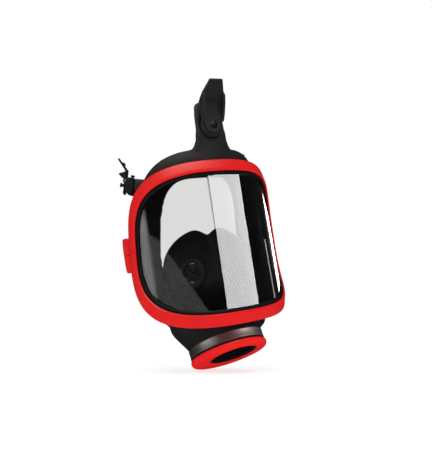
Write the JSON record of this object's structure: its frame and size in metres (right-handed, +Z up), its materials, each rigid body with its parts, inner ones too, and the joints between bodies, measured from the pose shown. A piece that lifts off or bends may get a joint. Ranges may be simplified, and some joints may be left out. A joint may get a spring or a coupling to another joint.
{
  "type": "full face respirator",
  "caption": "Full face respirator with a wide curved lens, red clamping frame, black rubber facepiece, round threaded chin connector, forehead helmet hook and temple latches.",
  "frame": {"origin": "axis of the curved lens, level with the lens frame's parting line, in the middle of the face opening", "axes": "+X towards the wearer's left, -Y out through the lens, +Z up along the lens"},
  "size_m": [0.1528, 0.1054, 0.2482],
  "materials": {
    "rubber": "moulded matt rubber",
    "cup_silicone": "soft matt silicone",
    "valve_silicone": "soft smooth silicone",
    "lens": "clear polished polycarbonate",
    "lens_frame_upper": "smooth red moulding",
    "lens_frame_lower": "smooth red moulding",
    "bell": "smooth red moulding",
    "black_plastic": "fine satin moulding",
    "grey_plastic": "fine satin moulding",
    "steel": "bright rolled steel",
    "stud_steel": "blackened steel"
  },
  "bodies": {
    "mask": {"adapter_stud_left": "black_plastic", "adapter_stud_right": "black_plastic", "cheek_valve_seat_left": "black_plastic", "cheek_valve_seat_right": "black_plastic", "clamp_band": "steel", "clamp_nut": "steel", "clamp_screw": "steel", "connector_bell": "bell", "connector_housing": "black_plastic", "exhalation_valve_seat": "grey_plastic", "facepiece_body": "rubber", "frame_nut_left": "steel", "frame_nut_right": "steel", "frame_screw_left": "steel", "frame_screw_right": "steel", "hook_disc": "black_plastic", "hook_stud": "stud_steel", "inhalation_valve_seat": "grey_plastic", "lens": "lens", "lens_frame_lower": "lens_frame_lower", "lens_frame_upper": "lens_frame_upper", "nose_cup": "cup_silicone", "nose_cup_ring": "black_plastic", "port_gasket": "valve_silicone", "port_insert": "black_plastic"},
    "hook": {"forehead_hook": "black_plastic"},
    "inhalation_flap": {"inhalation_valve_disc": "valve_silicone"},
    "exhalation_flap": {"exhalation_valve_disc": "valve_silicone"},
    "adapter_left": {"adapter_bracket_left": "black_plastic", "latch_pin_left": "steel"},
    "latch_left": {"latch_lever_left": "black_plastic"},
    "cheek_flap_left": {"cheek_valve_disc_left": "valve_silicone"},
    "adapter_right": {"adapter_bracket_right": "black_plastic", "latch_pin_right": "steel"},
    "latch_right": {"latch_lever_right": "black_plastic"},
    "cheek_flap_right": {"cheek_valve_disc_right": "valve_silicone"}
  },
  "joints": [
    {"name": "hook_swivel", "type": "hinge", "parent": "mask", "child": "hook", "pos_m": [0, -0.0752, 0.1005], "axis": [0, 1, 0], "range_deg": [-35, 35]},
    {"name": "inhalation_lift", "type": "slide", "parent": "mask", "child": "inhalation_flap", "axis": [0, 0.3156, 0.9489], "range_m": [0, 0.0015], "stiffness_N_per_m": 40, "springref_m": -0.0005},
    {"name": "exhalation_lift", "type": "slide", "parent": "mask", "child": "exhalation_flap", "axis": [0, -0.3156, -0.9489], "range_m": [0, 0.0015], "stiffness_N_per_m": 40, "springref_m": -0.0005},
    {"name": "adapter_swivel_left", "type": "hinge", "parent": "mask", "child": "adapter_left", "pos_m": [0.0595, -0.013, 0.0635], "axis": [0.8365, 0.483, 0.2588], "range_deg": [-20, 20]},
    {"name": "latch_press_left", "type": "hinge", "parent": "adapter_left", "child": "latch_left", "pos_m": [0.06256, -0.01123, 0.06807], "axis": [0.5, -0.866, 0], "range_deg": [0, 8], "stiffness_Nm_per_rad": 0.06, "springref_deg": -6.88},
    {"name": "cheek_lift_left", "type": "slide", "parent": "mask", "child": "cheek_flap_left", "axis": [-0.7998, 0.5999, -0.02], "range_m": [0, 0.0015], "stiffness_N_per_m": 40, "springref_m": -0.0005},
    {"name": "adapter_swivel_right", "type": "hinge", "parent": "mask", "child": "adapter_right", "pos_m": [-0.0595, -0.013, 0.0635], "axis": [-0.8365, 0.483, 0.2588], "range_deg": [-20, 20]},
    {"name": "latch_press_right", "type": "hinge", "parent": "adapter_right", "child": "latch_right", "pos_m": [-0.06256, -0.01123, 0.06807], "axis": [0.5, 0.866, 0], "range_deg": [0, 8], "stiffness_Nm_per_rad": 0.06, "springref_deg": -6.88},
    {"name": "cheek_lift_right", "type": "slide", "parent": "mask", "child": "cheek_flap_right", "axis": [0.7998, 0.5999, -0.02], "range_m": [0, 0.0015], "stiffness_N_per_m": 40, "springref_m": -0.0005}
  ]
}
